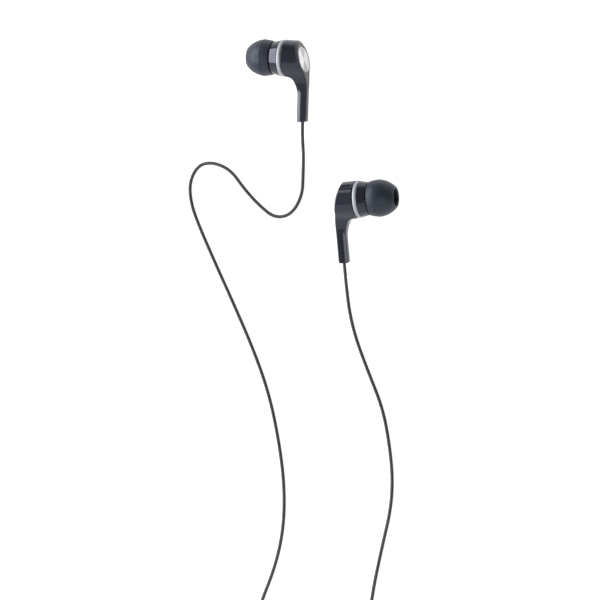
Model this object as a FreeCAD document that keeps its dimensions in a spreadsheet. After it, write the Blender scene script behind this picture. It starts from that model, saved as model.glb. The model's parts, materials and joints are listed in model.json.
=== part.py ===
import FreeCAD, Part
import math
import os
import re
import Sketcher

# Wired in-ear earphones, in millimetres, +Z up, lying on the plane z = 0.
# The origin is the middle of the two earbuds' footprint. The right bud points its
# nozzle along +X, the left one along -X, and both stems point along -Y.
# Each bud is drawn in its own frame: x along the nozzle towards the ear, the stem
# along -y, and the trim ring's middle plane at x = 0.

V = FreeCAD.Vector
SIDES = ("left", "right")

DIMENSIONS = {
    # where the buds lie
    "left_x": -12.65, "left_y": 29.78, "left_yaw": -4.3, "left_dip": 6.8, "left_turn": 180,
    "right_x": 12.72, "right_y": -15.84, "right_yaw": 1.7, "right_dip": 10.4, "right_turn": 0,
    "axis_height": 5.93,
    # silver trim ring between the two halves of the housing
    "ring_side_radius": 5.7, "ring_half": 0.6, "ring_crown": 1.0,
    "spigot_radius": 5.05,
    # front half: barrel, shoulder and nozzle
    "barrel_radius": 5.75, "barrel_end_radius": 5.28, "barrel_end": 3.05, "shoulder_radius": 4.83,
    "cavity_radius": 4.55, "spigot_end": -1.65, "seat_depth": 2.8,
    "nozzle_radius": 2.6, "nozzle_root": 4.75, "nozzle_end": 9.0, "nozzle_bore": 1.65,
    "groove_radius": 2.35, "groove_start": 7.4, "groove_end": 8.1,
    "mesh_radius": 1.9, "mesh_thickness": 0.2, "mesh_hole": 0.17, "mesh_pitch": 0.62,
    # soft tip
    "tip_radius": 5.93, "tip_rear": 3.7, "tip_crease": 6.2, "tip_front": 12.1,
    "skirt_radius": 5.45, "skirt_curve": 7.0, "crease_depth": 0.09,
    "dome_radius": 8, "dome_turn": 10.2, "dome_turn_radius": 4.8, "nose_radius": 8.2,
    "lip_radius": 3.4, "lip_curve": 0.44, "tip_bore": 2.65, "tip_wall": 0.55,
    "core_radius": 3.35, "core_start": 4.95,
    # rear half: tapered barrel, sloped facet, neck and stem
    "rear_radius": 5.78, "rear_end_radius": 5.2, "rear_length": 9.2, "reveal": 0.25, "reveal_radius": 5.45,
    "facet_angle": 14, "facet_x": -5.38, "facet_y": 5.4, "facet_curve": 20,
    "stem_back": -8.5, "stem_bottom": -20.1, "stem_half_width": 1.4,
    "stem_chamfer": 1.1, "stem_chamfer_side": 0.4,
    "neck_x": -1.25, "neck_y": -5.62, "neck_curve": 3.24, "neck_long_curve": 9.5, "neck_split": 62,
    "neck_side_curve": 11.5, "neck_side_radius": 5.25, "neck_top": -3.0,
    "rear_cavity_radius": 4.55, "rear_cavity_end": -4.6,
    "blank_width": 12, "blank_back": -12, "blank_top": 7.4,
    "cable_x": -6.9, "bore_radius": 0.6, "bore_top": -5.9, "slot_width": 1.3, "slot_length": 4.0,
    # plate on the back, with the round badge
    "cover_depth": 0.6, "cover_radius": 4.75, "cover_half_width": 0.95, "cover_side_curve": 6.0,
    "cover_bottom": -19.6,
    "badge_radius": 4.15, "badge_thickness": 0.4, "badge_sink": 0.34, "badge_y": -0.2, "badge_edge": 0.08,
    # loudspeaker
    "frame_radius": 4.45, "frame_inner": 4.15, "frame_rear": -0.6, "frame_front": 2.2, "ledge_radius": 3.85,
    "ledge_x": 1.3, "yoke_radius": 2.6, "yoke_inner": 2.3, "yoke_rear": -1.6, "yoke_floor": -1.1,
    "pole_x": 0.1, "yoke_front": 0.6, "magnet_radius": 1.7, "pole_radius": 1.8,
    "coil_inner": 1.95, "coil_outer": 2.15, "coil_rear": -0.4, "coil_front": 1.15,
    "film": 0.08, "film_radius": 4.05, "film_x": 1.52, "roll_inner": 2.35, "roll_outer": 3.75,
    "roll_curve": 0.85, "dome_rise": 0.55, "dome_curve": 3.6, "dome_flat": 0.3,
    "cap_inside": 2.4, "cap_front": 2.6, "cap_hole": 0.38, "cap_hole_circle": 2.5, "gasket_inner": 4.0,
    "board_inner": 2.8, "board_outer": 4.25, "board_thickness": 0.3, "board_angle": 150, "paper": 0.1,
    # cords
    "branch_radius": 0.55, "lead_radius": 1.0, "wire_radius": 0.12, "knot_x": -3.4, "knot_y": -3.2,
    "knot_turn": 0.62,
    # wound cord and its tie
    "coil_x": -6, "coil_y": -262, "coil_base": 0.5, "coil_middle": 12, "coil_half_width": 4,
    "coil_height": 6, "coil_corner": 1,
    "tie_wall": 0.4, "tie_width": 4.5, "tie_gap": 0.05, "tie_bulge": 0.35,
    # splitter
    "splitter_x": -6, "splitter_y": -218, "splitter_height": 3, "splitter_half_length": 6.5,
    "splitter_shoulder": 2.7, "splitter_neck": 1.7, "splitter_edge": 0.6, "splitter_pitch": 1.25,
    "chamber_half_width": 1.7, "chamber_half_length": 2.8, "chamber_height": 1.8,
    "joint_radius": 0.32, "joint_length": 1.8, "joint_pitch": 1.1,
    "relief_length": 6, "relief_root_radius": 1.5, "relief_end_radius": 1.3, "relief_groove": 0.25,
    # plug, drawn with its grip's front face at x = 0 and its tip along +x
    "plug_x": 24, "plug_y": -267, "plug_height": 3, "plug_heading": -90, "plug_radius": 1.75,
    "flange_radius": 2.3, "flange_end": 0.8, "sleeve_end": 7.7, "contact_start": 8.4, "contact_end": 10.7,
    "point_start": 11.4, "point_neck": 12.5, "point_ball": 13.3, "point_end": 14.8,
    "sleeve_bore": 1.3, "contact_tube": 1.05, "point_tube": 0.8, "point_rod": 0.5,
    "sleeve_tail": -1.5, "tail_radius": 1.55, "sleeve_insulator_tail": -3, "contact_tail": -4.2,
    "point_insulator_tail": -5.2, "point_tail": -6.4, "core_floor": -7, "core_end": -9, "core_wall": 2,
    "grip_radius": 3, "grip_taper": -12, "grip_end": -18, "grip_end_radius": 2.2,
    "plug_relief_end": -27, "plug_relief_root": 1.9, "plug_relief_tail": 1.35, "lead_end": -23.5,
}

doc = FreeCAD.newDocument("earphones")
sheet = doc.addObject("Spreadsheet::Sheet", "Sheet")
for row, (alias, number) in enumerate(DIMENSIONS.items(), start=1):
    sheet.set("A%d" % row, alias)
    sheet.set("B%d" % row, str(number))
    sheet.setAlias("B%d" % row, alias)
doc.recompute()

subparts = []


def value(expression):
    """The number that an expression of sheet names stands for."""
    return float(sheet.evalExpression(str(expression)))


def bound(expression):
    """The same expression, written for an object outside the sheet."""
    return re.sub(r"[a-z][a-z_]+", lambda word: "Sheet." + word.group() if word.group() in DIMENSIONS
                  else word.group(), str(expression))


def name_node(thing, name, placement=FreeCAD.Placement()):
    """Make a finished object one of the exported sub-parts."""
    thing.Label = name
    thing.Placement = placement
    subparts.append(thing)
    return thing


# ---------------------------------------------------------------- sketch and feature helpers

def arc_between(a, b, radius, turn):
    """The shorter arc from a to b: anticlockwise for turn 1, clockwise for turn -1."""
    chord = b - a
    height = math.sqrt(max(radius ** 2 - (chord.Length / 2) ** 2, 0))
    left = V(-chord.y, chord.x, 0).normalize()
    centre = (a + b) * 0.5 + left * height * turn
    first, last = (a, b) if turn > 0 else (b, a)
    angles = [math.atan2(p.y - centre.y, p.x - centre.x) for p in (first, last)]
    return Part.ArcOfCircle(Part.Circle(centre, V(0, 0, 1), radius), angles[0], angles[1])


def constrain(sketch, kind, *arguments, expression):
    index = sketch.addConstraint(Sketcher.Constraint(kind, *arguments, value(expression)))
    sketch.setExpression("Constraints[%d]" % index, bound(expression))


def outline(sketch, corners):
    """Draw a closed outline. A corner (x, y, radius, turn) starts an arc to the next corner."""
    spots = [V(value(corner[0]), value(corner[1]), 0) for corner in corners]
    edges = []
    for i, corner in enumerate(corners):
        start, end = spots[i], spots[(i + 1) % len(spots)]
        if len(corner) == 2:
            edges.append((sketch.addGeometry(Part.LineSegment(start, end)), 1, 2))
            continue
        radius, turn = corner[2:]
        edge = sketch.addGeometry(arc_between(start, end, value(radius), turn))
        constrain(sketch, "Radius", edge, expression=radius)
        edges.append((edge, 1, 2) if turn > 0 else (edge, 2, 1))
    for i, (edge, start, end) in enumerate(edges):
        following = edges[(i + 1) % len(edges)]
        sketch.addConstraint(Sketcher.Constraint("Coincident", edge, end, following[0], following[1]))
        constrain(sketch, "DistanceX", -1, 1, edge, start, expression=corners[i][0])
        constrain(sketch, "DistanceY", -1, 1, edge, start, expression=corners[i][1])


def circle(sketch, x, y, radius):
    edge = sketch.addGeometry(Part.Circle(V(value(x), value(y), 0), V(0, 0, 1), value(radius)))
    constrain(sketch, "DistanceX", -1, 1, edge, 3, expression=x)
    constrain(sketch, "DistanceY", -1, 1, edge, 3, expression=y)
    constrain(sketch, "Radius", edge, expression=radius)


def new_body(name):
    return doc.addObject("PartDesign::Body", name)


def new_sketch(body, role, offset=None):
    sketch = body.newObject("Sketcher::SketchObject", body.Name + "_sketch")
    plane = [item for item in body.Origin.OriginFeatures if item.Role == role][0]
    sketch.AttachmentSupport = [(plane, "")]
    sketch.MapMode = "FlatFace"
    if offset is not None:
        sketch.setExpression("AttachmentOffset.Base.z", bound(offset))
    return sketch


def revolve(body, corners, angle=360, axis="H_Axis", role="XY_Plane"):
    """Turn an outline about the nozzle axis, or part of the way round, evenly to both sides."""
    sketch = new_sketch(body, role)
    outline(sketch, corners)
    feature = body.newObject("PartDesign::Revolution", body.Name + "_turned")
    feature.Profile = sketch
    feature.ReferenceAxis = (sketch, [axis])
    feature.setExpression("Angle", bound(angle))
    feature.Midplane = angle != 360
    return feature


def pad(body, role, corners, length, midplane=True, offset=None):
    sketch = new_sketch(body, role, offset)
    outline(sketch, corners)
    feature = body.newObject("PartDesign::Pad", body.Name + "_pad")
    feature.Profile = sketch
    feature.setExpression("Length", bound(length))
    feature.Midplane = midplane
    return feature


def cut(body, sketch):
    """Pocket a finished sketch right through the body, both ways, and check that it cuts."""
    doc.recompute()
    before = body.Shape.Volume
    feature = body.newObject("PartDesign::Pocket", body.Name + "_cut")
    feature.Profile = sketch
    feature.Type = "ThroughAll"
    feature.Midplane = True
    doc.recompute()
    if body.Shape.Volume >= before:
        raise RuntimeError(feature.Name + " cuts nothing")
    return feature


def hole_ring(body, circle_radius, hole_radius, count):
    """Round holes through a disc that stands across the nozzle axis."""
    sketch = new_sketch(body, "YZ_Plane")
    circle(sketch, circle_radius, 0, hole_radius)
    feature = cut(body, sketch)
    pattern = body.newObject("PartDesign::PolarPattern", body.Name + "_ring")
    pattern.Originals = [feature]
    pattern.Axis = ([item for item in body.Origin.OriginFeatures if item.Role == "X_Axis"][0], [""])
    pattern.Angle = 360
    pattern.Occurrences = count
    body.Tip = pattern
    doc.recompute()


def edges_where(shape, test):
    """Names of the shape's edges whose middle point and end points pass a test."""
    names = []
    for number, edge in enumerate(shape.Edges, start=1):
        middle = edge.valueAt((edge.FirstParameter + edge.LastParameter) / 2)
        if test(middle, [vertex.Point for vertex in edge.Vertexes]):
            names.append("Edge%d" % number)
    return names


def dress(body, kind, names, size, second=None):
    """Fillet or chamfer the named edges of the body's last feature."""
    base = body.Tip
    feature = body.newObject("PartDesign::" + kind, body.Name + "_" + kind.lower())
    feature.Base = (base, names)
    if kind == "Fillet":
        feature.setExpression("Radius", bound(size))
    else:
        feature.setExpression("Size", bound(size))
    if second is not None:
        feature.ChamferType = "Two distances"
        feature.setExpression("Size2", bound(second))
    doc.recompute()
    return feature


def boolean(kind, name, base, tool):
    feature = doc.addObject("Part::" + kind, name)
    feature.Base = base
    feature.Tool = tool
    return feature


# ---------------------------------------------------------------- cords

def cord_path(points):
    """Straight runs joined by tangent arcs, each arc as large as its two runs allow."""
    edges = []
    radii = []
    start = points[0]
    for before, corner, after in zip(points, points[1:], points[2:]):
        back, ahead = before - corner, after - corner
        half_turn = (math.pi - back.getAngle(ahead)) / 2
        reach = 0.45 * min(back.Length, ahead.Length)
        radii.append(reach / math.tan(half_turn))
        first = corner + back.normalize() * reach
        last = corner + ahead.normalize() * reach
        inward = (back + ahead).normalize()
        middle = corner + inward * (radii[-1] / math.cos(half_turn) - radii[-1])
        edges.append(Part.LineSegment(start, first).toShape())
        edges.append(Part.Arc(first, middle, last).toShape())
        start = last
    edges.append(Part.LineSegment(start, points[-1]).toShape())
    return Part.Wire(edges), radii


def tube(points, radius, name=None):
    """A round solid along the route. A named one prints its bend radii and its length."""
    path, radii = cord_path(points)
    section = Part.Wire(Part.Circle(points[0], points[1] - points[0], radius).toShape())
    solid = path.makePipeShell([section], True, False, 2)
    expected = math.pi * radius ** 2 * path.Length
    if abs(solid.Volume - expected) > 0.01 * expected:
        raise RuntimeError("the tube's volume is wrong")
    if name:
        rounded = ", ".join("%.1f" % bend for bend in radii)
        print("%s: length %.1f mm, radii %s" % (name, path.Length, rounded))
    return solid


def feature_of(shape, name, placement=FreeCAD.Placement()):
    feature = doc.addObject("Part::Feature", name)
    feature.Shape = shape
    return name_node(feature, name, placement)


# ---------------------------------------------------------------- turned pieces of a bud
# Outlines are (x, distance from the nozzle axis), turned about that axis.

TURNED = {
    "trim_ring": [
        ("-ring_half", "spigot_radius"), ("-ring_half", "ring_side_radius", "ring_crown", -1),
        ("ring_half", "ring_side_radius"), ("ring_half", "spigot_radius")],
    "front_housing": [
        ("spigot_end", "cavity_radius"), ("spigot_end", "spigot_radius"), ("ring_half", "spigot_radius"),
        ("ring_half", "barrel_radius - 0.12"), ("ring_half + 0.12", "barrel_radius"),
        ("barrel_end", "barrel_end_radius", "0.45", -1), ("barrel_end + 0.42", "shoulder_radius"),
        ("nozzle_root - 0.35", "nozzle_radius + 0.4", "0.5", 1), ("nozzle_root", "nozzle_radius"),
        ("groove_start", "nozzle_radius"), ("groove_start + 0.15", "groove_radius"),
        ("groove_end", "groove_radius"), ("groove_end + 0.15", "nozzle_radius"),
        ("nozzle_end - 0.2", "nozzle_radius", "0.2", -1), ("nozzle_end", "nozzle_radius - 0.2"),
        ("nozzle_end", "mesh_radius"), ("nozzle_end - 0.4", "mesh_radius"),
        ("nozzle_end - 0.4", "nozzle_bore"), ("seat_depth + 1.4", "nozzle_bore"),
        ("seat_depth", "gasket_inner"), ("seat_depth", "cavity_radius")],
    "ear_tip": [
        ("tip_rear", "skirt_radius - tip_wall"), ("tip_rear", "skirt_radius - 0.15", "0.15", -1),
        ("tip_rear + 0.15", "skirt_radius", "skirt_curve", -1),
        ("tip_crease", "tip_radius"), ("tip_crease + 0.08", "tip_radius - crease_depth"),
        ("tip_crease + 0.2", "tip_radius - 0.02", "dome_radius", -1),
        ("dome_turn", "dome_turn_radius", "nose_radius", -1),
        ("tip_front - 0.14", "lip_radius", "lip_curve", -1), ("tip_front - 0.44", "tip_bore"),
        ("core_start", "tip_bore"), ("core_start", "core_radius"),
        ("dome_turn - 1.2", "core_radius", "0.8", 1), ("dome_turn - 0.6", "core_radius + 0.9"),
        ("tip_crease + 1.2", "tip_radius - tip_wall - 0.15", "12", 1)],
    "yoke": [
        ("yoke_rear", "0"), ("yoke_rear", "yoke_radius"), ("yoke_front", "yoke_radius"),
        ("yoke_front", "yoke_inner"), ("yoke_floor", "yoke_inner"), ("yoke_floor", "0")],
    "magnet": [
        ("yoke_floor", "0"), ("yoke_floor", "magnet_radius"), ("pole_x", "magnet_radius"), ("pole_x", "0")],
    "pole_plate": [
        ("pole_x", "0"), ("pole_x", "pole_radius"), ("yoke_front", "pole_radius"), ("yoke_front", "0")],
    "speaker_frame": [
        ("frame_rear", "yoke_radius"), ("frame_rear", "frame_radius"), ("frame_front", "frame_radius"),
        ("frame_front", "frame_inner"), ("ledge_x", "frame_inner"), ("ledge_x", "ledge_radius"),
        ("frame_rear + 0.5", "ledge_radius"), ("frame_rear + 0.5", "yoke_radius")],
    "voice_coil": [
        ("coil_rear", "coil_inner"), ("coil_rear", "coil_outer"),
        ("coil_front", "coil_outer"), ("coil_front", "coil_inner")],
    "diaphragm": [
        ("coil_front", "coil_inner"), ("coil_front", "coil_outer"),
        ("film_x", "roll_inner", "roll_curve", -1), ("film_x", "roll_outer"),
        ("film_x", "film_radius"), ("film_x + film", "film_radius"),
        ("film_x + film", "roll_outer", "roll_curve", 1), ("film_x + film", "roll_inner"),
        ("coil_front + film", "coil_outer"), ("coil_front + film", "coil_inner", "dome_curve", 1),
        ("coil_front + film + dome_rise", "dome_flat"), ("coil_front + film + dome_rise", "0"),
        ("coil_front + dome_rise", "0"), ("coil_front + dome_rise", "dome_flat", "dome_curve", -1)],
    "sealing_gasket": [
        ("cap_front", "gasket_inner"), ("cap_front", "frame_radius"),
        ("seat_depth", "frame_radius"), ("seat_depth", "gasket_inner")],
}


def make_turned(side, placement):
    for name, corners in TURNED.items():
        body = new_body(name + "_" + side)
        revolve(body, corners)
        name_node(body, name + "_" + side, placement)


def make_speaker_cap(side, placement):
    """Thin cover over the diaphragm, with a centre hole and a ring of sound holes."""
    body = new_body("speaker_cap_" + side)
    revolve(body, [
        ("cap_inside", "0"), ("cap_inside", "frame_inner"), ("frame_front", "frame_inner"),
        ("frame_front", "frame_radius"), ("cap_front", "frame_radius"), ("cap_front", "0")])
    centre = new_sketch(body, "YZ_Plane")
    circle(centre, 0, 0, "cap_hole")
    cut(body, centre)
    hole_ring(body, "cap_hole_circle", "cap_hole", 8)
    name_node(body, body.Name, placement)


def make_nozzle_mesh(side, placement):
    """Perforated disc in the mouth of the nozzle."""
    body = new_body("nozzle_mesh_" + side)
    rear = "nozzle_end - 0.4"
    front = "nozzle_end - 0.4 + mesh_thickness"
    revolve(body, [(rear, "0"), (rear, "mesh_radius"), (front, "mesh_radius"), (front, "0")])
    centre = new_sketch(body, "YZ_Plane")
    circle(centre, 0, 0, "mesh_hole")
    cut(body, centre)
    hole_ring(body, "mesh_pitch", "mesh_hole", 6)
    hole_ring(body, "2 * mesh_pitch", "mesh_hole", 12)
    name_node(body, body.Name, placement)


def make_rear_plates(side, placement):
    """Solder board and damping paper: two part rings on the back of the speaker frame."""
    thickness = {"terminal_board": ("board_thickness", -1), "damping_paper": ("paper", 1)}
    for name, (depth, half) in thickness.items():
        body = new_body(name + "_" + side)
        rear = "frame_rear - " + depth
        inner, outer = "%d * board_inner" % half, "%d * board_outer" % half
        revolve(body, [(rear, inner), (rear, outer), ("frame_rear", outer), ("frame_rear", inner)],
                "board_angle")
        name_node(body, body.Name, placement)


# ---------------------------------------------------------------- rear housing of a bud

FACET_SLOPE = "tan(facet_angle * 1deg)"
FACET_CORNER_Y = "facet_y - (facet_x - stem_back) / " + FACET_SLOPE


def back_line(depth):
    """Side view of all that lies behind the back surface, or behind a line depth inside it."""
    corner_x = "stem_back + %s" % depth
    corner_y = "(%s - %s * tan(facet_angle * 0.5deg))" % (FACET_CORNER_Y, depth)
    reach = "(facet_curve - %s) * tan(facet_angle * 0.5deg)" % depth
    return [
        ("facet_x + (blank_top - facet_y) * %s + %s / cos(facet_angle * 1deg)" % (FACET_SLOPE, depth),
         "blank_top"),
        ("%s + %s * sin(facet_angle * 1deg)" % (corner_x, reach),
         "%s + %s * cos(facet_angle * 1deg)" % (corner_y, reach), "facet_curve - %s" % depth, 1),
        (corner_x, "%s - %s" % (corner_y, reach)), (corner_x, "stem_bottom - 1"),
        ("blank_back", "stem_bottom - 1"), ("blank_back", "blank_top")]


def neck_side_outline():
    """Side view of the stem and of the hollow curve in front of its neck."""
    split_x = "(neck_x - neck_curve * sin(neck_split * 1deg))"
    split_y = "(neck_y - neck_curve * (1 - cos(neck_split * 1deg)))"
    front_y = "%s - neck_long_curve * cos(neck_split * 1deg)" % split_y
    front_x = "%s - neck_long_curve * (1 - sin(neck_split * 1deg))" % split_x
    return [
        ("neck_x", "neck_top"), ("neck_x", "neck_y", "neck_curve", 1),
        (split_x, split_y, "neck_long_curve", 1), (front_x, front_y), (front_x, "stem_bottom"),
        ("stem_back - 1", "stem_bottom"), ("stem_back - 1", "neck_top")]


def flare(half_width, curve, radius):
    """Where a hollow curve leaves a strip and where it meets a circle, in the back view."""
    across = "(%s + %s)" % (half_width, curve)
    reach = "(%s + %s)" % (radius, curve)
    strip_y = "-sqrt(%s^2 - %s^2)" % (reach, across)
    return strip_y, "%s * %s / %s" % (across, radius, reach), "%s * %s / %s" % (strip_y, radius, reach)


def neck_waste(half):
    """Back view, as (y, z), of what is cut away beside the neck and the stem."""
    strip_y, meet_z, meet_y = flare("stem_half_width", "neck_side_curve", "neck_side_radius")
    far = "%d * blank_width" % half
    side = "%d * stem_half_width" % half
    meet = "%d * %s" % (half, meet_z)
    return [
        ("stem_bottom - 1", side), (strip_y, side, "neck_side_curve", half), (meet_y, meet),
        ("neck_top + 0.1", meet), ("neck_top + 0.1", far), ("stem_bottom - 1", far)]


def make_outer_housing(side):
    """The solid outer form: neck and stem, then the barrel, then the sloped back."""
    body = new_body("rear_form_" + side)
    pad(body, "XY_Plane", neck_side_outline(), "blank_width")
    waste = new_sketch(body, "YZ_Plane")
    outline(waste, neck_waste(1))
    outline(waste, neck_waste(-1))
    cut(body, waste)
    front = edges_where(body.Shape, lambda middle, ends: abs(middle.z) > 1.3 and middle.y < -6.4
                        and min(end.x for end in ends) > -5.6 and max(end.y for end in ends) < -7.2)
    dress(body, "Chamfer", front, "stem_chamfer", "stem_chamfer_side")
    revolve(body, [
        ("-ring_half", "0"), ("-ring_half", "reveal_radius"), ("-ring_half - reveal", "reveal_radius"),
        ("-ring_half - reveal", "rear_radius"), ("-rear_length", "rear_end_radius"), ("-rear_length", "0")])
    back = new_sketch(body, "XY_Plane")
    outline(back, back_line("0"))
    cut(body, back)
    return body


def make_cover_blank(side):
    """A plate that follows the back surface, as wide as the facet and the stem's back allow."""
    plate = new_body("cover_plate_" + side)
    pad(plate, "XY_Plane", back_line("cover_depth"), "blank_width")
    face = new_body("cover_face_" + side)
    strip_y, meet_z, meet_y = flare("cover_half_width", "cover_side_curve", "cover_radius")
    corners = [
        ("cover_bottom", "-cover_half_width"), ("cover_bottom", "cover_half_width"),
        (strip_y, "cover_half_width", "cover_side_curve", 1), (meet_y, meet_z, "cover_radius", -1),
        ("cover_radius", "0", "cover_radius", -1), (meet_y, "-" + meet_z, "cover_side_curve", 1),
        (strip_y, "-cover_half_width")]
    pad(face, "YZ_Plane", corners, "-2 * blank_back")
    return boolean("Common", "cover_outline_" + side, plate, face)


def make_badge(side, placement):
    """Spun metal disc, drawn on its own axis and tilted into the facet."""
    body = new_body("badge_" + side)
    revolve(body, [
        ("0", "0"), ("0", "badge_radius"), ("badge_thickness - badge_edge", "badge_radius"),
        ("badge_thickness", "badge_radius - badge_edge"), ("badge_thickness", "0")])
    slope = FreeCAD.Rotation(V(0, 0, 1), 180 - value("facet_angle"))
    surface_x = value("facet_x - (facet_y - badge_y) * " + FACET_SLOPE)
    outward = slope.multVec(V(1, 0, 0))
    seat = V(surface_x, value("badge_y"), 0) - outward * value("badge_sink")
    local = FreeCAD.Placement(seat, slope)
    recess = doc.addObject("Part::Cylinder", "badge_recess_" + side)
    recess.setExpression("Radius", bound("badge_radius"))
    recess.setExpression("Height", "5")
    recess.Placement = local.multiply(FreeCAD.Placement(V(), FreeCAD.Rotation(V(0, 1, 0), 90)))
    name_node(body, body.Name, placement.multiply(local))
    return recess


def make_rear_housing(side, placement):
    """Hollow housing with a stepped mouth, a cable bore and a recess for the back cover."""
    form = make_outer_housing(side)
    for radius, rear in (("spigot_radius", "spigot_end"), ("rear_cavity_radius", "rear_cavity_end")):
        sketch = new_sketch(form, "XY_Plane")
        outline(sketch, [("1", "0"), ("1", radius), (rear, radius), (rear, "0")])
        groove = form.newObject("PartDesign::Groove", form.Name + "_bore")
        groove.Profile = sketch
        groove.ReferenceAxis = (sketch, ["H_Axis"])
        groove.Angle = 360
    doc.recompute()
    bore = doc.addObject("Part::Cylinder", "cable_bore_" + side)
    bore.setExpression("Radius", bound("bore_radius"))
    bore.setExpression("Height", bound("bore_top - stem_bottom + 1"))
    bore.Placement = FreeCAD.Placement(V(value("cable_x"), value("stem_bottom") - 1, 0),
                                       FreeCAD.Rotation(V(1, 0, 0), -90))
    slot = doc.addObject("Part::Box", "cable_slot_" + side)
    slot.setExpression("Length", bound("slot_length"))
    slot.setExpression("Width", bound("slot_width"))
    slot.setExpression("Height", bound("slot_width"))
    half = value("slot_width") / 2
    tilt = FreeCAD.Rotation(V(0, 0, 1), 45)
    slot.Placement = FreeCAD.Placement(V(value("cable_x"), value("bore_top"), 0)
                                       - tilt.multVec(V(half, half, half)), tilt)
    hollow = boolean("Cut", "bored_form_" + side, form, bore)
    hollow = boolean("Cut", "slotted_form_" + side, hollow, slot)
    blank = make_cover_blank(side)
    recess = make_badge(side, placement)
    housing = boolean("Cut", "housing_cut_" + side, hollow, blank)
    cover = boolean("Cut", "cover_cut_" + side, boolean("Common", "cover_blank_" + side, blank, form), recess)
    name_node(housing, "rear_housing_" + side, placement)
    name_node(cover, "back_cover_" + side, placement)


def make_inner_cable(side, placement):
    """The end of the branch cord inside the stem, its stopper knot and the two fine wires."""
    exit_x, exit_y = value("cable_x"), value("stem_bottom")
    knot = V(value("knot_x"), value("knot_y"), 0)
    bend = V(exit_x, value("bore_top") + 0.2, 0)
    cable = tube([V(exit_x, exit_y, 0), bend, V(-5.2, -4.35, 0), knot], value("branch_radius"))
    ring = Part.makeTorus(value("knot_turn"), value("branch_radius"), knot, V(0.6, 0.8, 0.3))
    feature_of(cable.fuse(ring), "inner_cable_" + side, placement)
    wires = []
    for offset in (-1, 1):
        wires.append(tube([knot + V(0.3, -0.3, 0.55 * offset), V(-2.4, -3.5, 0.9 * offset),
                           V(-1.6, -3.55, 1.3 * offset), V(-0.9, -3.4, 1.5 * offset)],
                          value("wire_radius")))
    feature_of(Part.makeCompound(wires), "speaker_wires_" + side, placement)


def bud_placement(side):
    """Turn the nozzle outward, dip the stem towards the table, then set the heading."""
    outward = FreeCAD.Rotation(V(0, 1, 0), value(side + "_turn"))
    dip = FreeCAD.Rotation(V(1, 0, 0), value(side + "_dip"))
    heading = FreeCAD.Rotation(V(0, 0, 1), value(side + "_yaw"))
    spot = V(value(side + "_x"), value(side + "_y"), value("axis_height"))
    return FreeCAD.Placement(spot, heading.multiply(dip).multiply(outward))


# ---------------------------------------------------------------- splitter

def make_splitter():
    """Moulded joint of the two branches: two inlets, a chamber for the joints, one outlet."""
    centre = V(value("splitter_x"), value("splitter_y"), 0)
    placement = FreeCAD.Placement(centre, FreeCAD.Rotation())
    body = new_body("splitter_form")
    pad(body, "XY_Plane", [
        ("-splitter_neck", "-splitter_half_length"), ("splitter_neck", "-splitter_half_length"),
        ("splitter_neck", "-splitter_half_length + 3"), ("splitter_shoulder", "1"),
        ("splitter_shoulder", "splitter_half_length - 1"), ("splitter_shoulder - 1", "splitter_half_length"),
        ("1 - splitter_shoulder", "splitter_half_length"), ("-splitter_shoulder", "splitter_half_length - 1"),
        ("-splitter_shoulder", "1"), ("-splitter_neck", "-splitter_half_length + 3")],
        "splitter_height", midplane=False)
    doc.recompute()
    flat = edges_where(body.Shape, lambda middle, ends: abs(ends[0].z - ends[1].z) < 0.01)
    dress(body, "Fillet", flat, "splitter_edge")
    chamber = doc.addObject("Part::Box", "splitter_chamber")
    chamber.setExpression("Length", bound("2 * chamber_half_width"))
    chamber.setExpression("Width", bound("2 * chamber_half_length"))
    chamber.setExpression("Height", bound("chamber_height"))
    floor = (value("splitter_height") - value("chamber_height")) / 2
    corner = V(-value("chamber_half_width"), -value("chamber_half_length"), floor)
    chamber.Placement = FreeCAD.Placement(corner, FreeCAD.Rotation())
    tools = [chamber]
    middle = value("splitter_height") / 2
    ways = [("branch_radius", -1, 1), ("branch_radius", 1, 1), ("lead_radius", 0, -1)]
    for radius, across, along in ways:
        way = doc.addObject("Part::Cylinder", "splitter_way")
        way.setExpression("Radius", bound(radius))
        way.setExpression("Height", bound("splitter_half_length + 1"))
        way.Placement = FreeCAD.Placement(V(across * value("splitter_pitch"), 0, middle),
                                          FreeCAD.Rotation(V(1, 0, 0), -90 * along))
        tools.append(way)
    hollow = doc.addObject("Part::MultiFuse", "splitter_hollow")
    hollow.Shapes = tools
    name_node(boolean("Cut", "splitter_cut", body, hollow), "splitter", placement)
    joints = []
    for across in (-1, 0, 1):
        joint = doc.addObject("Part::Cylinder", "solder_joint")
        joint.setExpression("Radius", bound("joint_radius"))
        joint.setExpression("Height", bound("joint_length"))
        start = V(across * value("joint_pitch"), -value("joint_length") / 2, middle)
        joint.Placement = FreeCAD.Placement(start, FreeCAD.Rotation(V(1, 0, 0), -90))
        joints.append(joint)
    group = doc.addObject("Part::Compound", "solder_joints")
    group.Links = joints
    name_node(group, "solder_joints", placement)
    along = FreeCAD.Placement(centre + V(0, -value("splitter_half_length"), middle),
                              FreeCAD.Rotation(V(0, 0, 1), -90))
    make_relief("splitter_relief", ["relief_length", "relief_root_radius", "relief_end_radius"], along)


def make_relief(name, sizes, placement):
    """A ribbed sleeve round the lead, from its root at x = 0 along +x, thinner to its end."""
    length, root, end = sizes
    grooves = 3
    corners = [("0", "lead_radius"), ("0", root)]
    for number in range(grooves):
        start = (number + 0.5) / (grooves + 0.5)
        for share, depth in ((start, 0), (start, 1), (start + 0.14, 1), (start + 0.14, 0)):
            radius = "%s + (%s - %s) * %.4f - relief_groove * %d" % (root, end, root, share, depth)
            corners.append(("(%s) * %.4f" % (length, share), radius))
    corners += [(length, end), (length, "lead_radius")]
    body = new_body(name)
    revolve(body, corners)
    name_node(body, name, placement)


# ---------------------------------------------------------------- wound cord and tie

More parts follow.
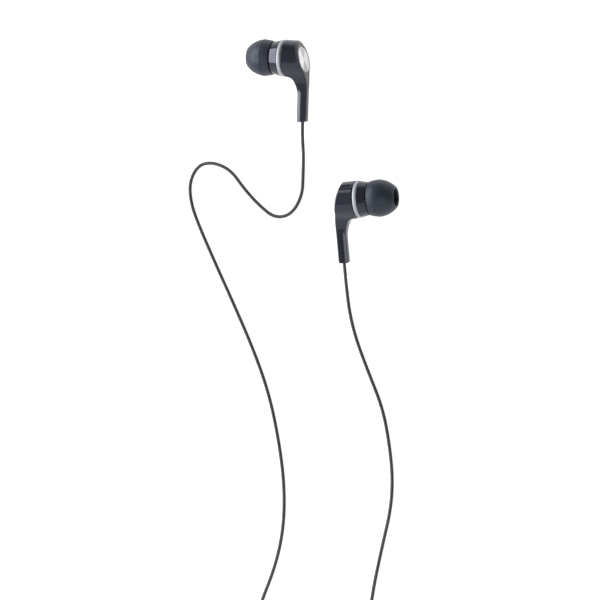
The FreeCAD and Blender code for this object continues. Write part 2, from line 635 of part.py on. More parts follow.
def make_coil():
    """The outer shape of the wound lead, and the band that holds it."""
    centre = V(value("coil_x"), value("coil_y"), 0)
    inner, outer = "coil_middle - coil_half_width", "coil_middle + coil_half_width"
    top = "coil_base + coil_height"
    body = new_body("cord_coil")
    revolve(body, [
        (inner + " + coil_corner", "coil_base"), (outer + " - coil_corner", "coil_base", "coil_corner", 1),
        (outer, "coil_base + coil_corner"), (outer, top + " - coil_corner", "coil_corner", 1),
        (outer + " - coil_corner", top), (inner + " + coil_corner", top, "coil_corner", 1),
        (inner, top + " - coil_corner"), (inner, "coil_base + coil_corner", "coil_corner", 1)],
        axis="V_Axis", role="XZ_Plane")
    name_node(body, "cord_coil", FreeCAD.Placement(centre, FreeCAD.Rotation()))
    band = new_body("cable_tie")
    sketch = new_sketch(band, "XZ_Plane")
    for wall, corner in (("tie_wall", "coil_corner + 0.2"), ("0", "coil_corner - 0.2")):
        left = "-coil_middle - coil_half_width - tie_gap - " + wall
        right = "-coil_middle + coil_half_width + tie_bulge + " + wall
        low, high = "coil_base - tie_gap - " + wall, top + " + tie_gap + " + wall
        low_in, high_in = "%s + %s" % (low, corner), "%s - (%s)" % (high, corner)
        left_in, right_in = "%s + %s" % (left, corner), "%s - (%s)" % (right, corner)
        outline(sketch, [
            (left_in, low), (right_in, low, corner, 1), (right, low_in), (right, high_in, corner, 1),
            (right_in, high), (left_in, high, corner, 1), (left, high_in), (left, low_in, corner, 1)])
    feature = band.newObject("PartDesign::Pad", "cable_tie_pad")
    feature.Profile = sketch
    feature.setExpression("Length", bound("tie_width"))
    feature.Midplane = True
    name_node(band, "cable_tie", FreeCAD.Placement(centre, FreeCAD.Rotation()))


# ---------------------------------------------------------------- plug

PLUG = {
    "plug_sleeve": [
        ("sleeve_tail", "sleeve_bore"), ("sleeve_tail", "tail_radius"), ("0", "tail_radius"),
        ("0", "flange_radius"), ("flange_end - 0.2", "flange_radius", "0.2", -1),
        ("flange_end", "flange_radius - 0.2"), ("flange_end", "plug_radius"),
        ("sleeve_end", "plug_radius"), ("sleeve_end", "sleeve_bore")],
    "plug_insulator_rear": [
        ("sleeve_insulator_tail", "contact_tube"), ("sleeve_insulator_tail", "sleeve_bore"),
        ("sleeve_end", "sleeve_bore"), ("sleeve_end", "plug_radius"), ("contact_start", "plug_radius"),
        ("contact_start", "contact_tube")],
    "plug_ring": [
        ("contact_tail", "point_tube"), ("contact_tail", "contact_tube"), ("contact_start", "contact_tube"),
        ("contact_start", "plug_radius"), ("contact_end", "plug_radius"), ("contact_end", "point_tube")],
    "plug_insulator_front": [
        ("point_insulator_tail", "point_rod"), ("point_insulator_tail", "point_tube"),
        ("contact_end", "point_tube"), ("contact_end", "plug_radius"), ("point_start", "plug_radius"),
        ("point_start", "point_rod")],
    "plug_tip": [
        ("point_tail", "0"), ("point_tail", "point_rod"), ("point_start", "point_rod"),
        ("point_start", "plug_radius"), ("point_start + 0.4", "plug_radius"),
        ("point_neck", "plug_radius - 0.5", "1", 1), ("point_ball", "plug_radius - 0.15", "1.5", -1),
        ("point_end - 0.1", "0.5"), ("point_end", "0.3"), ("point_end", "0")],
    "plug_core": [
        ("core_end", "lead_radius"), ("core_end", "core_wall"), ("0", "core_wall"),
        ("0", "tail_radius"), ("sleeve_tail", "tail_radius"), ("sleeve_tail", "sleeve_bore"),
        ("sleeve_insulator_tail", "sleeve_bore"), ("sleeve_insulator_tail", "contact_tube"),
        ("contact_tail", "contact_tube"), ("contact_tail", "point_tube"),
        ("point_insulator_tail", "point_tube"), ("point_insulator_tail", "point_rod"),
        ("point_tail", "point_rod"), ("point_tail", "0"), ("core_floor", "0"),
        ("core_floor", "lead_radius")],
    "plug_grip": [
        ("grip_end", "lead_radius"), ("grip_end", "grip_end_radius - 0.3", "0.3", -1),
        ("grip_end + 0.3", "grip_end_radius"), ("grip_taper", "grip_radius", "40", -1),
        ("-0.6", "grip_radius - 0.2", "0.6", -1), ("0", "grip_radius - 0.8"),
        ("0", "core_wall"), ("core_end", "core_wall"), ("core_end", "lead_radius")],
    "plug_lead_end": [
        ("lead_end", "0"), ("lead_end", "lead_radius"), ("core_floor", "lead_radius"),
        ("core_floor", "0")],
}


def make_plug():
    spot = V(value("plug_x"), value("plug_y"), value("plug_height"))
    placement = FreeCAD.Placement(spot, FreeCAD.Rotation(V(0, 0, 1), value("plug_heading")))
    for name, corners in PLUG.items():
        body = new_body(name)
        revolve(body, corners)
        name_node(body, name, placement)
    rear = FreeCAD.Placement(V(value("grip_end"), 0, 0), FreeCAD.Rotation(V(0, 0, 1), 180))
    make_relief("plug_relief", ["grip_end - plug_relief_end", "plug_relief_root", "plug_relief_tail"],
                placement.multiply(rear))


# ---------------------------------------------------------------- routes of the cords
# Points of straight runs that the arcs round off, from each bud to the splitter, and
# from the splitter to the coil and on to the plug.

ROUTES = {
    "cord_left_branch": ("branch_radius", [
        (-7.27, 9.36, 3.55), (-7.55, 5.3, 3.08), (-7.7, -0.7, 1.5), (-8.2, -7.0, 0.55),
        (-8.5, -14.0, 0.55), (-12.2, -20.0, 0.55), (-18.0, -21.1, 0.55), (-23.5, -16.8, 0.55),
        (-28.7, -11.4, 0.55), (-33.5, -5.0, 0.55), (-39.9, -2.3, 0.55), (-45.1, -3.1, 0.55),
        (-48.3, -8.7, 0.55), (-47.7, -15.7, 0.55), (-44.9, -23.0, 0.55), (-38.9, -35.7, 0.55),
        (-32.1, -49.6, 0.55), (-25.6, -63.5, 0.55), (-20.3, -77.1, 0.55), (-16.9, -91.5, 0.55),
        (-14.7, -106.5, 0.55), (-14.8, -120.6, 0.55), (-17.7, -133.7, 0.55), (-23.3, -147.1, 0.55),
        (-27.5, -161.0, 0.55),
        (-26.5, -176.0, 0.55), (-19.0, -188.0, 0.55), (-10.6, -196.5, 0.8), (-7.25, -207.0, 1.5),
        (-7.25, -215.2, 1.5)]),
    "cord_right_branch": ("branch_radius", [
        (6.41, -35.81, 2.3), (6.52, -39.7, 1.6), (6.75, -45.1, 0.62), (7.6, -51.7, 0.55),
        (9.7, -59.9, 0.55), (13.8, -70.3, 0.55), (18.7, -81.9, 0.55), (20.9, -93.3, 0.55),
        (22.0, -104.1, 0.55), (21.3, -114.1, 0.55), (18.3, -126.3, 0.55), (14.8, -142.6, 0.55),
        (13.6, -157.0, 0.55),
        (16.0, -171.0, 0.55), (22.0, -184.0, 0.55), (27.0, -196.0, 0.55), (28.5, -208.0, 0.55),
        (25.0, -218.0, 0.55), (17.0, -221.5, 0.55), (10.5, -215.5, 0.55), (8.5, -204.5, 0.55),
        (9.8, -192.0, 0.55), (9.3, -181.0, 0.55), (8.2, -174.2, 0.55), (4.2, -170.6, 0.55),
        (-0.8, -170.6, 0.55), (-4.8, -174.2, 0.55), (-6.2, -182.5, 0.55), (-5.2, -193.8, 0.8),
        (-4.75, -205.0, 1.5), (-4.75, -215.2, 1.5)]),
    "cord_main_lead": ("lead_radius", [
        (-6.0, -220.8, 1.5), (-6.0, -233.5, 1.5), (-12.6, -244.6, 1.1), (-17.5, -250.9, 1.5)]),
    "cord_main_tail": ("lead_radius", [
        (9.4, -264.7, 5.5), (10.9, -256.4, 4.6), (11.2, -248.6, 2.4), (11.0, -240.5, 1.1),
        (12.6, -232.8, 1.0), (18.0, -229.4, 1.0), (23.2, -232.6, 1.8), (24.0, -238.2, 3.0),
        (24.0, -243.5, 3.0)]),
}


def make_cords(exits):
    for name, (radius, route) in ROUTES.items():
        points = [V(*spot) for spot in route]
        if name in exits:
            points[0] = exits[name]
        feature_of(tube(points, value(radius), name), name)


exits = {}
for side in SIDES:
    placement = bud_placement(side)
    make_turned(side, placement)
    make_speaker_cap(side, placement)
    make_nozzle_mesh(side, placement)
    make_rear_plates(side, placement)
    make_rear_housing(side, placement)
    make_inner_cable(side, placement)
    exits["cord_%s_branch" % side] = placement.multVec(V(value("cable_x"), value("stem_bottom"), 0))
make_splitter()
make_coil()
make_plug()
make_cords(exits)
for name, spot in exits.items():
    print(name, "leaves the stem at", tuple(round(c, 2) for c in spot))

# ---------------------------------------------------------------- check and write

doc.recompute()
faults = [item.Name for item in doc.Objects if "Invalid" in item.State or "Error" in item.State]
for item in subparts:
    if item.Shape.isNull() or not item.Shape.isValid() or not item.Shape.Solids:
        faults.append(item.Label)
if faults:
    raise RuntimeError("failed objects: " + ", ".join(faults))
os.makedirs("parts", exist_ok=True)
for item in subparts:
    item.Shape.exportStep("parts/%s.step" % item.Label)
print(len(subparts), "sub-parts written")
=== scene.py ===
import json
import math
from itertools import product
import bmesh
import bpy
import numpy as np
from mathutils import Matrix, Vector


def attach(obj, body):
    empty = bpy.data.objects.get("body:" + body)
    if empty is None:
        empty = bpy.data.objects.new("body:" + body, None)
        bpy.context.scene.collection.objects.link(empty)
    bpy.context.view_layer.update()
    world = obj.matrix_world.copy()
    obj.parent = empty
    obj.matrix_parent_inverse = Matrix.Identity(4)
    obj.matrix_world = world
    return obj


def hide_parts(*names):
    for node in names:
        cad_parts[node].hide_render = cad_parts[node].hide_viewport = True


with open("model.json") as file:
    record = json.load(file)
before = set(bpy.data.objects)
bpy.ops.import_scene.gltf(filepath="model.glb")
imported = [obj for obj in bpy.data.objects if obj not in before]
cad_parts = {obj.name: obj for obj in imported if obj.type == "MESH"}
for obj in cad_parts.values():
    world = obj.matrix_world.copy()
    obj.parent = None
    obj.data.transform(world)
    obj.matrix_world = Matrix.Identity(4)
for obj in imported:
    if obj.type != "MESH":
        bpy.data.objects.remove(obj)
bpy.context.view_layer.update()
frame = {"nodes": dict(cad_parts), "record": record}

# Wired in-ear earphones. Metres, in the frame of the CAD model: +Z up from the surface
# they lie on, the right bud's nozzle along +X, both stems along -Y.
# Each bud's pieces are drawn in millimetres in the bud's own frame: x along the nozzle
# towards the ear, the stem along -y, the trim ring's middle plane at x = 0.

MM = 0.001
BODY = "earphones"
SIDES = ("left", "right")
scene = bpy.context.scene


# ---------------------------------------------------------------- camera

AIM = Vector((-0.00947, -0.0476, 0))
CAMERA_TILT = math.radians(20.5)
CAMERA_DISTANCE = 0.55
CAMERA_LENS = 102.3


def make_camera():
    data = bpy.data.cameras.new("camera")
    data.lens = CAMERA_LENS
    data.sensor_width = 36
    camera = bpy.data.objects.new("camera", data)
    camera.location = AIM + CAMERA_DISTANCE * Vector((math.sin(CAMERA_TILT), 0, math.cos(CAMERA_TILT)))
    camera.rotation_euler = (0, CAMERA_TILT, 0)
    scene.collection.objects.link(camera)
    scene.camera = camera


make_camera()


# ---------------------------------------------------------------- materials

def noise_node(nodes, links, coordinates, scale, detail=3.0):
    noise = nodes.new("ShaderNodeTexNoise")
    noise.inputs["Scale"].default_value = scale
    noise.inputs["Detail"].default_value = detail
    links.new(coordinates, noise.inputs["Vector"])
    return noise.outputs["Fac"]


def spread(nodes, links, value, start, end, low, high):
    """The value, carried from the range start to end into the range low to high."""
    node = nodes.new("ShaderNodeMapRange")
    for socket, number in (("From Min", start), ("From Max", end), ("To Min", low), ("To Max", high)):
        node.inputs[socket].default_value = number
    links.new(value, node.inputs["Value"])
    return node.outputs["Result"]


def combined(nodes, links, operation, first, second):
    node = nodes.new("ShaderNodeMath")
    node.operation = operation
    links.new(first, node.inputs[0])
    links.new(second, node.inputs[1])
    return node.outputs[0]


NOISE_LOW, NOISE_HIGH = 0.3, 0.7
SMUDGE = 2.7
GRAIN_DETAIL = 6.0


def surface(name, dark, light, roughness, clouds, grain=None, stretch=(1, 1, 1), **sockets):
    """A procedural finish: colour clouds from dark to light, a range of roughness and fine
    bumps. clouds is a scale, grain is (scale, depth in metres), and stretch draws both out."""
    material = bpy.data.materials.new(name)
    material.use_nodes = True
    nodes, links = material.node_tree.nodes, material.node_tree.links
    shader = nodes["Principled BSDF"]
    place = nodes.new("ShaderNodeTexCoord")
    drawn = nodes.new("ShaderNodeMapping")
    drawn.inputs["Scale"].default_value = stretch
    links.new(place.outputs["Object"], drawn.inputs["Vector"])
    coordinates = drawn.outputs["Vector"]
    cloud = noise_node(nodes, links, coordinates, clouds)
    mix = nodes.new("ShaderNodeMix")
    mix.data_type = "RGBA"
    mix.inputs["A"].default_value = (*dark, 1)
    mix.inputs["B"].default_value = (*light, 1)
    links.new(spread(nodes, links, cloud, NOISE_LOW, NOISE_HIGH, 0, 1), mix.inputs["Factor"])
    links.new(mix.outputs["Result"], shader.inputs["Base Color"])
    smudge = noise_node(nodes, links, coordinates, clouds * SMUDGE)
    rough = spread(nodes, links, smudge, NOISE_LOW, NOISE_HIGH, *roughness)
    links.new(rough, shader.inputs["Roughness"])
    if grain:
        bump = nodes.new("ShaderNodeBump")
        bump.inputs["Strength"].default_value = 1.0
        bump.inputs["Distance"].default_value = grain[1]
        links.new(noise_node(nodes, links, coordinates, grain[0], GRAIN_DETAIL), bump.inputs["Height"])
        links.new(bump.outputs["Normal"], shader.inputs["Normal"])
    for socket, value in sockets.items():
        shader.inputs[socket.replace("_", " ")].default_value = value
    return material


MATERIALS = {
    "gloss_black": surface("gloss_black", (0.0085, 0.0090, 0.0140), (0.0105, 0.0110, 0.0170), (0.07, 0.13),
                           260, (1800, 0.000004), Specular_Tint=(0.80, 0.84, 1.0, 1.0)),
    "back_plate": surface("back_plate", (0.078, 0.070, 0.070), (0.096, 0.087, 0.087), (0.36, 0.48),
                          400, (9000, 0.000008)),
    "silicone": surface("silicone", (0.005, 0.007, 0.012), (0.008, 0.010, 0.017), (0.42, 0.56),
                        350, (7000, 0.000012), Specular_Tint=(0.72, 0.84, 1.0, 1.0),
                        Sheen_Weight=0.05, Sheen_Roughness=0.4, Sheen_Tint=(0.8, 0.9, 1.0, 1.0)),
    "trim_metal": surface("trim_metal", (0.30, 0.305, 0.34), (0.335, 0.34, 0.375), (0.38, 0.50),
                          500, (2500, 0.000003), (9, 1, 1), Metallic=0.3),
    "badge_metal": surface("badge_metal", (0.72, 0.725, 0.74), (0.80, 0.805, 0.82), (0.26, 0.34),
                           500, (5000, 0.000003), Metallic=1.0, Anisotropic=0.9,
                           Anisotropic_Rotation=0.25),
    "mesh_steel": surface("mesh_steel", (0.20, 0.20, 0.21), (0.34, 0.34, 0.35), (0.30, 0.45),
                          900, (9000, 0.000006), Metallic=1.0),
    "speaker_plastic": surface("speaker_plastic", (0.020, 0.020, 0.022), (0.035, 0.035, 0.037), (0.40, 0.55),
                               600, (9000, 0.000008)),
    "speaker_steel": surface("speaker_steel", (0.42, 0.42, 0.43), (0.58, 0.58, 0.60), (0.25, 0.40),
                             800, (6000, 0.000005), Metallic=1.0),
    "film": surface("film", (0.42, 0.34, 0.20), (0.55, 0.47, 0.32), (0.12, 0.25), 600, (4000, 0.000005)),
    "copper": surface("copper", (0.60, 0.24, 0.10), (0.78, 0.36, 0.18), (0.20, 0.35), 900,
                      (9000, 0.000006), Metallic=1.0),
    "magnet": surface("magnet", (0.28, 0.28, 0.29), (0.40, 0.40, 0.41), (0.25, 0.40), 700,
                      (6000, 0.000005), Metallic=1.0),
    "board": surface("board", (0.010, 0.080, 0.030), (0.020, 0.130, 0.050), (0.25, 0.40), 900,
                     (5000, 0.000008)),
    "paper": surface("paper", (0.60, 0.58, 0.52), (0.75, 0.73, 0.68), (0.80, 0.95), 900, (9000, 0.000015)),
    "foam": surface("foam", (0.012, 0.012, 0.012), (0.030, 0.030, 0.030), (0.85, 0.97), 2500,
                    (8000, 0.000040)),
    "cord_jacket": surface("cord_jacket", (0.012, 0.012, 0.017), (0.020, 0.019, 0.026), (0.38, 0.50),
                           300, (6000, 0.000010)),
    "moulded_black": surface("moulded_black", (0.014, 0.014, 0.016), (0.022, 0.022, 0.025), (0.36, 0.50),
                             350, (7000, 0.000012)),
    "solder": surface("solder", (0.55, 0.55, 0.57), (0.72, 0.72, 0.74), (0.18, 0.32), 1200,
                      (3000, 0.000020), Metallic=1.0),
    "tie": surface("tie", (0.012, 0.012, 0.014), (0.028, 0.028, 0.031), (0.75, 0.92), 1200,
                   (5000, 0.000060), Sheen_Weight=0.3, Sheen_Roughness=0.5),
    "gold": surface("gold", (0.86, 0.60, 0.24), (0.95, 0.72, 0.34), (0.12, 0.22), 500,
                    (3000, 0.000003), Metallic=1.0),
    "insulator": surface("insulator", (0.010, 0.010, 0.011), (0.018, 0.018, 0.019), (0.28, 0.40), 600,
                         (6000, 0.000006)),
}


# Where the painted reflection on the badge turns from its dim wedges to its bright ones.
PAINTED_WEDGE_START, PAINTED_WEDGE_END = 0.05, 0.6


def turned_lines_and_painted_wedges(material, painted_dim):
    """Fine turned lines round the x axis, which draw the highlight out, and painted reflection: two bright
    wedges and two wedges dimmed by that factor, painted into the base colour and fixed to the badge.
    """
    nodes, links = material.node_tree.nodes, material.node_tree.links
    shader = nodes["Principled BSDF"]
    base = shader.inputs["Base Color"].links[0].from_socket
    tangent = nodes.new("ShaderNodeTangent")
    tangent.direction_type = "RADIAL"
    tangent.axis = "X"
    links.new(tangent.outputs["Tangent"], shader.inputs["Tangent"])
    place = nodes.new("ShaderNodeTexCoord")
    flat = nodes.new("ShaderNodeMapping")
    flat.inputs["Scale"].default_value = (0, 1, 1)
    outward = nodes.new("ShaderNodeVectorMath")
    outward.operation = "NORMALIZE"
    parts = nodes.new("ShaderNodeSeparateXYZ")
    shade = nodes.new("ShaderNodeVectorMath")
    shade.operation = "SCALE"
    links.new(place.outputs["Object"], flat.inputs["Vector"])
    links.new(flat.outputs["Vector"], outward.inputs[0])
    links.new(outward.outputs["Vector"], parts.inputs["Vector"])
    # Painted reflection: the base colour is dimmed by the angle round the badge's axis.
    painted_wedge = combined(nodes, links, "MULTIPLY", parts.outputs["Z"], parts.outputs["Z"])
    links.new(base, shade.inputs[0])
    links.new(spread(nodes, links, painted_wedge, PAINTED_WEDGE_START, PAINTED_WEDGE_END, painted_dim, 1), shade.inputs["Scale"])
    links.new(shade.outputs["Vector"], shader.inputs["Base Color"])


# The badge's bright and dim wedges are painted reflection in its base colour, fixed to the badge.
turned_lines_and_painted_wedges(MATERIALS["badge_metal"], 0.5)


def dress(piece, slot):
    """Give a piece the finish of one of the record's material slots."""
    piece.data.materials.clear()
    piece.data.materials.append(MATERIALS[slot])


def dress_cad_nodes():
    for subpart in frame["record"]["subparts"]:
        node = frame["nodes"][subpart["node"]]
        for slot in node.material_slots:
            slot.material = MATERIALS[subpart["material_slot"]]


dress_cad_nodes()


# ---------------------------------------------------------------- cords
# Control points of the routes, from each bud to the splitter, and from the splitter to
# the wound cord and on to the plug.

BRANCH_LENGTH, BRANCH_RADIUS = 0.30, 0.00055
LEAD_LENGTH, LEAD_RADIUS = 0.90, 0.001
CORD_LEFT_BRANCH = [
    (-0.00727, 0.00936, 0.00355), (-0.00755, 0.0053, 0.00308), (-0.0077, -0.0007, 0.0015),
    (-0.0082, -0.007, 0.00055), (-0.0085, -0.014, 0.00055), (-0.0122, -0.02, 0.00055),
    (-0.018, -0.0211, 0.00055), (-0.0235, -0.0168, 0.00055), (-0.0287, -0.0114, 0.00055),
    (-0.0335, -0.005, 0.00055), (-0.0399, -0.0023, 0.00055), (-0.0451, -0.0031, 0.00055),
    (-0.0483, -0.0087, 0.00055), (-0.0477, -0.0157, 0.00055), (-0.0449, -0.023, 0.00055),
    (-0.0389, -0.0357, 0.00055), (-0.0321, -0.0496, 0.00055), (-0.0256, -0.0635, 0.00055),
    (-0.0203, -0.0771, 0.00055), (-0.0169, -0.0915, 0.00055), (-0.0147, -0.1065, 0.00055),
    (-0.0148, -0.1206, 0.00055), (-0.0177, -0.1337, 0.00055), (-0.0233, -0.1471, 0.00055),
    (-0.0275, -0.161, 0.00055), (-0.0265, -0.176, 0.00055), (-0.019, -0.188, 0.00055),
    (-0.0106, -0.1965, 0.0008), (-0.00725, -0.207, 0.0015), (-0.00725, -0.2152, 0.0015)]
CORD_RIGHT_BRANCH = [
    (0.00641, -0.03581, 0.0023), (0.00652, -0.0397, 0.0016), (0.00675, -0.0451, 0.00062),
    (0.0076, -0.0517, 0.00055), (0.0097, -0.0599, 0.00055), (0.0138, -0.0703, 0.00055),
    (0.0187, -0.0819, 0.00055), (0.0209, -0.0933, 0.00055), (0.022, -0.1041, 0.00055),
    (0.0213, -0.1141, 0.00055), (0.0183, -0.1263, 0.00055), (0.0148, -0.1426, 0.00055),
    (0.0136, -0.157, 0.00055), (0.016, -0.171, 0.00055), (0.022, -0.184, 0.00055),
    (0.027, -0.196, 0.00055), (0.0285, -0.208, 0.00055), (0.025, -0.218, 0.00055),
    (0.017, -0.2215, 0.00055), (0.0105, -0.2155, 0.00055), (0.0085, -0.2045, 0.00055),
    (0.0098, -0.192, 0.00055), (0.0093, -0.181, 0.00055), (0.0082, -0.1742, 0.00055),
    (0.0042, -0.1706, 0.00055), (-0.0008, -0.1706, 0.00055), (-0.0048, -0.1742, 0.00055),
    (-0.0062, -0.1825, 0.00055), (-0.0052, -0.1938, 0.0008), (-0.00475, -0.205, 0.0015),
    (-0.00475, -0.2152, 0.0015)]
CORD_MAIN_LEAD = [
    (-0.006, -0.2208, 0.0015), (-0.006, -0.2335, 0.0015), (-0.0126, -0.2446, 0.0011),
    (-0.0175, -0.2509, 0.0015)]
CORD_MAIN_TAIL = [
    (0.0094, -0.2647, 0.0055), (0.0109, -0.2564, 0.0046), (0.0112, -0.2486, 0.0024),
    (0.011, -0.2405, 0.0011), (0.0126, -0.2328, 0.001), (0.018, -0.2294, 0.001),
    (0.0232, -0.2326, 0.0018), (0.024, -0.2382, 0.003), (0.024, -0.2435, 0.003)]

COIL_CENTRE = Vector((-0.006, -0.262, 0))
COIL_LAYERS = (
    (0.0015, (0.015, 0.013, 0.011, 0.009)),
    (0.0035, (0.009, 0.011, 0.013, 0.015)),
    (0.0055, (0.013, 0.015)))
COIL_START, COIL_END = math.radians(152), math.radians(342)
TURN_STEPS = 16
CHANGE = 0.25


def winding():
    """Control points of the wound cord, layer on layer, anticlockwise from above."""
    turns = [(height, radius) for height, radii in COIL_LAYERS for radius in radii]
    step = 2 * math.pi / TURN_STEPS
    outward = 1 / math.cos(math.pi / TURN_STEPS)
    count = round((len(turns) * 2 * math.pi + COIL_END - COIL_START) / step)
    spots = []
    for number in range(count + 1):
        passed = number / TURN_STEPS
        turn = min(int(passed), len(turns) - 1)
        height, radius = turns[turn]
        share = passed - turn
        if turn and share < CHANGE:
            share = share / CHANGE
            old_height, old_radius = turns[turn - 1]
            height = old_height + (height - old_height) * min(1, share * 1.5)
            radius = old_radius + (radius - old_radius) * share
        angle = COIL_START + number * step
        spots.append(COIL_CENTRE + Vector((
            math.cos(angle) * radius * outward, math.sin(angle) * radius * outward, height)))
    return spots


def cord_curve(name, route, radius, *nodes):
    """A round cord on one smooth spline through the route's control points."""
    data = bpy.data.curves.new(name, "CURVE")
    data.dimensions = "3D"
    data.bevel_depth = radius
    data.bevel_resolution = 5
    data.resolution_u = 10
    data.use_fill_caps = True
    spline = data.splines.new("NURBS")
    spline.points.add(len(route) - 1)
    for point, spot in zip(spline.points, route):
        point.co = (*spot, 1)
    spline.order_u = 3
    spline.use_endpoint_u = True
    cord = bpy.data.objects.new(name, data)
    scene.collection.objects.link(cord)
    dress(cord, "cord_jacket")
    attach(cord, BODY)
    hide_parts(*nodes)
    return cord


lead_route = CORD_MAIN_LEAD + winding() + CORD_MAIN_TAIL
left_cord = cord_curve("left_cord", CORD_LEFT_BRANCH, BRANCH_RADIUS, "cord_left_branch")
right_cord = cord_curve("right_cord", CORD_RIGHT_BRANCH, BRANCH_RADIUS, "cord_right_branch")
lead_cord = cord_curve("lead_cord", lead_route, LEAD_RADIUS, "cord_main_lead", "cord_coil",
                       "cord_main_tail")


# ---------------------------------------------------------------- mesh helpers

# For each bud: its turn about the stem's direction, the stem's dip to the surface and its
# heading, in degrees, and where the middle of its trim ring is.
BUD_PLACES = {
    "left": (180, 6.8, -4.3, (-12.65, 29.78, 5.93)),
    "right": (0, 10.4, 1.7, (12.72, -15.84, 5.93))}


def bud_matrix(side):
    """The bud's own frame in the frame of the whole model."""
    turn, dip, yaw, spot = BUD_PLACES[side]
    heading = Matrix.Rotation(math.radians(yaw), 4, "Z")
    dipped = Matrix.Rotation(math.radians(dip), 4, "X")
    outward = Matrix.Rotation(math.radians(turn), 4, "Y")
    return Matrix.Translation(Vector(spot) * MM) @ heading @ dipped @ outward


def new_piece(name, points, faces, slot, body, place, *nodes):
    """A smooth mesh, drawn in millimetres in the frame place, which rides on a body."""
    data = bpy.data.meshes.new(name)
    data.from_pydata([[c * MM for c in point] for point in points], [], faces)
    data.validate()
    data.shade_smooth()
    piece = bpy.data.objects.new(name, data)
    piece.matrix_world = place
    scene.collection.objects.link(piece)
    dress(piece, slot)
    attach(piece, body)
    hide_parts(*nodes)
    return piece


ARC_STEP = math.radians(7)
FEWEST_STEPS = 3


def arc_points(start, end, radius, turn):
    """Points from start up to but without end, on the shorter arc: anticlockwise for turn 1."""
    a, b = Vector(start), Vector(end)
    chord = b - a
    height = math.sqrt(max(radius ** 2 - (chord.length / 2) ** 2, 0))
    centre = (a + b) / 2 + Vector((-chord.y, chord.x)).normalized() * height * turn
    first = math.atan2(a.y - centre.y, a.x - centre.x)
    swept = 2 * math.asin(min(1, chord.length / 2 / radius)) * turn
    steps = max(FEWEST_STEPS, math.ceil(abs(swept) / ARC_STEP))
    return [(centre.x + radius * math.cos(first + swept * i / steps),
             centre.y + radius * math.sin(first + swept * i / steps)) for i in range(steps)]


def outline(corners):
    """A dense outline. A corner (x, r, radius, turn) starts an arc to the next corner."""
    points = []
    for corner, after in zip(corners, corners[1:] + corners[:1]):
        if len(corner) == 2:
            points.append(corner)
        else:
            points += arc_points(corner[:2], after[:2], *corner[2:])
    return points


MERGE = 0.0005


def lathe(name, corners, slot, body, place, *nodes, sides=112, edge=0.05):
    """A closed solid turned about the local x axis, its edges slightly rounded."""
    ring = outline(corners)
    points = []
    for number in range(sides):
        angle = 2 * math.pi * number / sides
        points += [(x, r * math.cos(angle), r * math.sin(angle)) for x, r in ring]
    count = len(ring)
    faces = []
    for number, i in product(range(sides), range(count)):
        here, there = number * count, (number + 1) % sides * count
        j = (i + 1) % count
        faces.append((here + i, there + i, there + j, here + j))
    piece = new_piece(name, points, faces, slot, body, place, *nodes)
    mesh = bmesh.new()
    mesh.from_mesh(piece.data)
    bmesh.ops.remove_doubles(mesh, verts=mesh.verts, dist=MERGE * MM)
    bmesh.ops.dissolve_degenerate(mesh, edges=mesh.edges, dist=MERGE * MM)
    bmesh.ops.recalc_face_normals(mesh, faces=mesh.faces)
    mesh.to_mesh(piece.data)
    mesh.free()
    round_edges(piece, edge)
    return piece


SHARP = math.radians(28)


def round_edges(piece, width):
    bevel = piece.modifiers.new("rounded_edges", "BEVEL")
    bevel.width = width * MM
    bevel.segments = 3
    bevel.limit_method = "ANGLE"
    bevel.angle_limit = SHARP
    bevel.harden_normals = True


# A shape can also be given as a signed distance: a function of x, y and z arrays that is
# negative inside the material.

def blend(a, b, reach):
    """The union of two shapes, with a hollow fillet between them."""
    share = np.clip(0.5 + 0.5 * (b - a) / reach, 0, 1)
    return b * (1 - share) + a * share - reach * share * (1 - share)


def common(a, b, reach):
    """What two shapes have in common, with its edge rounded over that reach."""
    return -blend(-a, -b, reach)


def chamfer(a, b, depth_a, depth_b):
    """The plane that cuts the edge of two surfaces, depth_a into one and depth_b into the other."""
    size = math.hypot(1 / depth_a, 1 / depth_b)
    return (a / depth_a + b / depth_b + 1) / size


def net(distance, low, high, step):
    """Points and faces where a distance is zero: one point a cell, one face an edge crossed."""
    axes = [np.arange(a, b + step, step) for a, b in zip(low, high)]
    inside = distance(*np.meshgrid(*axes, indexing="ij")) < 0
    shape = [len(axis) - 1 for axis in axes]
    corners = sum(inside[i:i + shape[0], j:j + shape[1], k:k + shape[2]].astype(int)
                  for i, j, k in product((0, 1), repeat=3))
    crossed = (corners > 0) & (corners < 8)
    number = np.full(shape, -1)
    number[crossed] = np.arange(crossed.sum())
    points = np.array(low) + (np.argwhere(crossed) + 0.5) * step
    faces = []
    for axis in range(3):
        order = (axis, (axis + 1) % 3, (axis + 2) % 3)
        solid, cell = np.transpose(inside, order), np.transpose(number, order)
        lower, upper = solid[:-1, 1:-1, 1:-1], solid[1:, 1:-1, 1:-1]
        for edge, ahead in ((lower & ~upper, 1), (~lower & upper, -1)):
            i, j, k = np.nonzero(edge)
            loop = [cell[i, j, k], cell[i, j + 1, k], cell[i, j + 1, k + 1], cell[i, j, k + 1]]
            faces.append(np.stack(loop[::ahead], axis=1))
    return points, np.concatenate(faces)


NUDGE = 0.004
LEAST_STEEP = 0.2
LONGEST_MOVE = 0.08
EASE = 0.6


def settle(points, distance, times):
    """Move points along the slope of the distance onto its zero surface."""
    for _ in range(times):
        value = distance(*points.T)
        slope = np.stack([(distance(*(points + offset).T) - distance(*(points - offset).T)) / (2 * NUDGE)
                          for offset in np.eye(3) * NUDGE], axis=1)
        steep = np.maximum((slope ** 2).sum(axis=1), LEAST_STEEP)
        points = points - slope * np.clip(value / steep, -LONGEST_MOVE, LONGEST_MOVE)[:, None]
    return points


